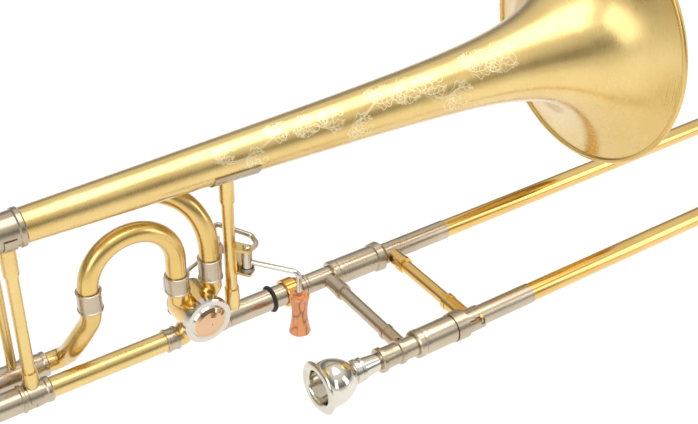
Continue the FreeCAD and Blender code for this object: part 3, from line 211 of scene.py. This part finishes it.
# ---------------------------------------------------------------- finishes of the CAD pieces
FINISHES = [
    (brushed_brass["x"], "bell_stem bell_flare lower_main_tube"),
    (buffed_brass["x"], "outer_slide_tubes bow_ferrules bow_bumper_socket"),
    (buffed_brass["y"], "outer_brace valve_casing slide_lock_pin"),
    (brushed_brass["z"], "bell_braces f_braces trigger_bracket"),
    (rubbed_brass, """f_front_bends f_rear_tube tuning_bow f_tuning_bow slide_bow bell_rim
                      valve_knuckles"""),
    (red_brass, "lock_nut"),
    (brushed_nickel["x"], """main_ferrules tuning_outer_legs brace_feet f_outer_legs neck_receiver
                             neck_pipe slide_tenon cork_barrels mouthpiece_receiver
                             outer_slide_sleeves outer_brace_saddles tuning_inner_legs
                             tuning_ferrules f_tuning_inner_legs f_tuning_ferrules
                             slide_lock_ring"""),
    (brushed_nickel["y"], "inner_brace valve_plates"),
    (brushed_nickel["z"], "f_ferrules water_key_mount water_key"),
    (cap_plate_and_painted_reflection, "valve_cap"),
    (nickel_plate, "trigger_lever link_rod trigger_hinge_screw stop_arm"),
    (ground_chrome, "inner_slide_tubes slide_stockings"),
    (silver_plate, "mouthpiece"),
    (machined_bronze, "rotor leadpipe"),
    (spring_wire, "trigger_spring water_key_spring"),
    (rubber, "receiver_o_ring stop_bumpers slide_bumper"),
    (cork, "slide_corks water_key_cork"),
    (grip_wood, "trigger_grip"),
]
for finish, names in FINISHES:
    for name in names.split():
        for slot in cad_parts[name].material_slots:
            slot.material = finish

# ---------------------------------------------------------------- engraved leaf scroll on the bell
BELL_TAIL_R_MM, BELL_TAPER, BELL_EDGE_R_MM = 11.2, 0.0215, 106.7
FLARE_DEPTH_MM, FLARE_POWER = 66.0, 2.45
SCROLL_TURN = math.radians(52)         # how far round from the top the scroll lies
STROKE_HALF_MM = 0.28
STROKE_LIFT_MM = 0.05


def bell_radius(along):
    """The bell's outer radius in mm: a straight taper from the tail, plus the rim's
    remaining rise times (depth / (depth + distance to the mouth)) to a power."""
    taper = BELL_TAIL_R_MM + BELL_TAPER * (along - BELL_TAIL_X_MM)
    rise = BELL_EDGE_R_MM - BELL_TAIL_R_MM - BELL_TAPER * (BELL_MOUTH_X_MM - BELL_TAIL_X_MM)
    return taper + rise * (FLARE_DEPTH_MM / (FLARE_DEPTH_MM + BELL_MOUTH_X_MM - along)) ** FLARE_POWER


def on_bell(along, across, lift):
    """Lays flat coordinates on the bell: along stays x, and across becomes an angle, the
    arc length over the radius, counted from the scroll's middle line."""
    radius = bell_radius(along) + lift
    angle = SCROLL_TURN + across / bell_radius(along)
    return np.stack([along, -radius * np.sin(angle), BELL_AXIS_Z_MM + radius * np.cos(angle)], -1)


def ribbon(line):
    """A thin strip over a flat line of points: each point is moved to both sides along
    the line's normal by half the stroke, which narrows as a sine towards both ends."""
    step = np.gradient(line, axis=0)
    step /= np.linalg.norm(step, axis=1, keepdims=True) + 1e-9
    normal = np.stack([-step[:, 1], step[:, 0]], -1)
    share = np.linspace(0, 1, len(line))[:, None]
    half = STROKE_HALF_MM * (0.25 + 0.75 * np.sin(np.pi * share) ** 0.5)
    rails = np.concatenate([line + normal * half, line - normal * half])
    count = len(line)
    first = np.arange(count - 1)
    quads = np.stack([first, first + 1, first + 1 + count, first + count], -1)
    return on_bell(rails[:, 0], rails[:, 1], STROKE_LIFT_MM), quads


def placed(shape, at, turn, size):
    """Turns a flat shape, sizes it and moves it."""
    turned = np.stack([shape[:, 0] * math.cos(turn) - shape[:, 1] * math.sin(turn),
                       shape[:, 0] * math.sin(turn) + shape[:, 1] * math.cos(turn)], -1)
    return turned * size + np.asarray(at)


def curl(turns, tightness):
    """A spiral whose radius falls exponentially as it turns."""
    angle = np.linspace(0, turns * 2 * math.pi, 40)
    reach = np.exp(-tightness * angle)
    return np.stack([reach * np.cos(angle), reach * np.sin(angle)], -1) - [[1.0, 0.0]]


def leaf_lines(lobes, bow):
    """A leaf one unit long: two lobed sides, a middle vein and side veins. Its middle is a
    parabola, and its half width is a sine hump times a ripple for the lobes."""
    share = np.linspace(0, 1, 36)
    middle = np.stack([share, bow * share * (1 - share) * 4], -1)
    width = 0.23 * np.sin(np.pi * share ** 0.8) * (1 + 0.28 * np.cos(share * lobes * 2 * math.pi))
    lines = [middle + np.stack([0 * share, width], -1), middle - np.stack([0 * share, width], -1), middle]
    for root in np.linspace(0.12, 0.75, lobes + 1):
        reach = np.linspace(0, 1, 8)
        for side in (-1, 1):
            base = np.array([root, bow * root * (1 - root) * 4])
            vein_long = 0.17 * math.sin(math.pi * root ** 0.8)
            lines.append(base + np.stack([reach * 0.14, side * vein_long * reach ** 1.3], -1))
    return lines


SCROLL_START_MM, SCROLL_END_MM, SCROLL_WAVE_MM = -76.0, 186.0, 87.0
STEM_POINTS = 260
TWIGS = 12
TWIG_STEP_MM = 21.5


def height_at(x):
    """The stem's distance from the scroll's middle line: a sine whose height grows with x."""
    past = x - SCROLL_START_MM
    return (5.0 + past * 0.025) * np.sin(past / SCROLL_WAVE_MM * 2 * math.pi)


def scroll_lines():
    """A wavy stem along the bell, cut as short double strokes, with three leaves and two
    curls at even steps, on either side in turn and larger towards the flare."""
    lines = []
    along = np.linspace(SCROLL_START_MM, SCROLL_END_MM, STEM_POINTS)
    stem = np.stack([along, height_at(along)], -1)
    for first in range(0, STEM_POINTS - 44, 36):
        lines += [stem[first:first + 34], stem[first + 3:first + 31] + [0.0, 1.1]]
    for index in range(TWIGS):
        x = SCROLL_START_MM + 6 + index * TWIG_STEP_MM
        side = 1 if index % 2 else -1
        size = 14.0 + index * 1.1
        root = (x, height_at(x))
        for tilt, share, bow in ((0.6, 1.0, 0.16), (1.25, 0.7, 0.2), (0.05, 0.9, -0.14)):
            for line in leaf_lines(3, bow):
                lines.append(placed(line * [1, side], root, side * tilt, size * share))
        lines.append(placed(curl(1.4, 0.17) * [1, side], (x + 5, root[1] - side * 2), -side, size * 0.42))
        lines.append(placed(curl(1.1, 0.2) * [-1, side], (x + 9, root[1] + side * 3),
                            side * 0.6, size * 0.34))
    return lines


def cut_lines(name, lines, finish, body):
    """Joins the ribbons over all lines into one piece."""
    points, quads, count = [], [], 0
    for line in lines:
        strip_points, strip_quads = ribbon(line)
        points.append(strip_points)
        quads.append(strip_quads + count)
        count += len(strip_points)
    mesh = bpy.data.meshes.new(name)
    mesh.from_pydata((np.concatenate(points) * MM).tolist(), [], np.concatenate(quads).tolist())
    mesh.materials.append(finish)
    piece = bpy.data.objects.new(name, mesh)
    bpy.context.scene.collection.objects.link(piece)
    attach(piece, body)


# ---------------------------------------------------------------- wound springs
HINGE_MM = (-50.0, -11.0)
TRIGGER_COIL_Z_MM = 45.77
KEY_PIVOT_MM = (697.0, 0.0, -13.0)


def wound(axis, centre_mm, coil_mm, wire_mm, rise_mm, turns, body, node):
    """A wound spring in place of a CAD node. Its middle line runs round the coil radius
    and climbs evenly, and a ring of points is set round it on the outward and axial
    directions. A point closes each end."""
    count = int(turns * 40) + 1
    sides = 12
    angle = np.linspace(0, turns * 2 * math.pi, count)
    flat = np.zeros((count, 3))
    first, second = [direction for direction in range(3) if direction != axis]
    flat[:, first], flat[:, second] = np.cos(angle), np.sin(angle)
    lift = np.eye(3)[axis]
    middle = np.asarray(centre_mm) + flat * coil_mm + lift * np.linspace(0, rise_mm, count)[:, None]
    around = (np.arange(sides) / sides * 2 * math.pi)[None, :, None]
    rings = middle[:, None] + (flat[:, None] * np.cos(around) + lift * np.sin(around)) * wire_mm
    points = np.concatenate([rings.reshape(-1, 3), middle[:1], middle[-1:]])
    step = np.arange(sides)
    after = (step + 1) % sides
    row = np.arange(count - 1)[:, None] * sides
    quads = np.stack([row + step, row + after, row + sides + after, row + sides + step], -1).reshape(-1, 4)
    tip = count * sides
    start = np.stack([np.full(sides, tip), after, step], -1)
    end = np.stack([np.full(sides, tip + 1), tip - sides + step, tip - sides + after], -1)
    faces = quads.tolist() + start.tolist() + end.tolist()
    if axis == 2:                      # round z the rings run the other way
        faces = [face[::-1] for face in faces]
    mesh = bpy.data.meshes.new(node + "_wound")
    mesh.from_pydata((points * MM).tolist(), [], faces)
    mesh.shade_smooth()
    mesh.materials.append(spring_wire)
    piece = bpy.data.objects.new(node + "_wound", mesh)
    bpy.context.scene.collection.objects.link(piece)
    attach(piece, body)
    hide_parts(node)


wound(2, (*HINGE_MM, TRIGGER_COIL_Z_MM), 4.8, 0.45, 3.3, 3.25, "bell_section", "trigger_spring")
wound(1, (KEY_PIVOT_MM[0], 3.9, KEY_PIVOT_MM[2]), 1.75, 0.35, 1.7, 2.5, "hand_slide", "water_key_spring")

# Brass freshly cut by the engraver: brighter and sharper than the brushed skin round it
cut_brass = metal("engraver_cut_brass", "#FBEEC9", "#F2DCA6", 0.45, patches_mm=8.0)
cut_lines("bell_engraving", scroll_lines(), cut_brass, "bell_section")

# ---------------------------------------------------------------- studio
def sheet_of(name, corners_mm, finish):
    """A flat four-cornered mesh."""
    mesh = bpy.data.meshes.new(name)
    mesh.from_pydata([[value * MM for value in corner] for corner in corners_mm], [], [(0, 1, 2, 3)])
    piece = bpy.data.objects.new(name, mesh)
    mesh.materials.append(finish)
    bpy.context.scene.collection.objects.link(piece)
    return piece


floor_paint, tree, shader, where = new_finish("matt_white_paint")
shader.inputs["Base Color"].default_value = linear("#FAFAFA")
shader.inputs["Roughness"].default_value = 1.0
shader.inputs["Specular IOR Level"].default_value = 0.0
FLOOR_HALF_MM = 12000.0
FLOOR_CORNERS = ((-1, -1), (1, -1), (1, 1), (-1, 1))
floor = sheet_of("studio_floor", [(across * FLOOR_HALF_MM, deep * FLOOR_HALF_MM, FLOOR_Z_MM)
                                  for across, deep in FLOOR_CORNERS], floor_paint)


def soft_light(name, place_mm, aim_mm, size_mm, watts):
    """A rectangular soft light that faces a point."""
    lamp = bpy.data.lights.new(name, "AREA")
    lamp.shape = "RECTANGLE"
    lamp.size = size_mm[0] * MM
    lamp.size_y = size_mm[1] * MM
    lamp.energy = watts
    holder = bpy.data.objects.new(name, lamp)
    start = Vector(place_mm) * MM
    holder.location = start
    holder.rotation_euler = (Vector(aim_mm) * MM - start).to_track_quat("-Z", "Y").to_euler()
    bpy.context.scene.collection.objects.link(holder)


soft_light("overhead_light", (150, -300, 1900), (50, 0, 60), (2400, 1400), 24)
soft_light("left_light", (-1800, -900, 900), (0, 0, 60), (900, 1400), 9)
soft_light("right_light", (1700, -1500, 700), (200, 0, 60), (700, 1400), 7)
bpy.context.scene.view_settings.view_transform = "Standard"

world = bpy.data.worlds.new("studio_air")
bpy.context.scene.world = world
world.use_nodes = True
air = world.node_tree
air.nodes.clear()
heading = add(air, "ShaderNodeTexCoord").outputs["Generated"]
height = add(air, "ShaderNodeSeparateXYZ", {0: heading}).outputs["Z"]
sky = add(air, "ShaderNodeValToRGB", {"Fac": add(air, "ShaderNodeMapRange", {"Value": height},
          {"From Min": -1.0, "From Max": 1.0}).outputs["Result"]})
sky.color_ramp.elements[0].color = (0.9, 0.9, 0.9, 1)
sky.color_ramp.elements[1].color = (1.0, 1.0, 1.0, 1)
for place, tone in ((0.48, 0.75), (0.56, 0.22), (0.66, 0.35), (0.8, 0.9)):
    sky.color_ramp.elements.new(place).color = (tone, tone * 0.985, tone * 0.96, 1)
backdrop = add(air, "ShaderNodeBackground", {"Color": sky.outputs["Color"]}, {"Strength": 1.0})
add(air, "ShaderNodeOutputWorld", {"Surface": backdrop.outputs[0]})

# ---------------------------------------------------------------- camera
CAMERA_PLACE_MM = (-398.73, -642.54, 592.74)
CAMERA_FORWARD = Vector((0.47029, 0.67634, -0.56691))
CAMERA_UP = Vector((0.31179, 0.47362, 0.82369))
lens = bpy.data.cameras.new("studio_camera")
lens.lens = 63.02
lens.sensor_width = 36.0
lens.clip_start = 0.01
lens.clip_end = 60.0
camera = bpy.data.objects.new("studio_camera", lens)
side = CAMERA_FORWARD.cross(CAMERA_UP).normalized()
up = side.cross(CAMERA_FORWARD).normalized()
turn = Matrix((side, up, -CAMERA_FORWARD.normalized())).transposed().to_4x4()
camera.matrix_world = Matrix.Translation(Vector(CAMERA_PLACE_MM) * MM) @ turn
bpy.context.scene.collection.objects.link(camera)
bpy.context.scene.camera = camera
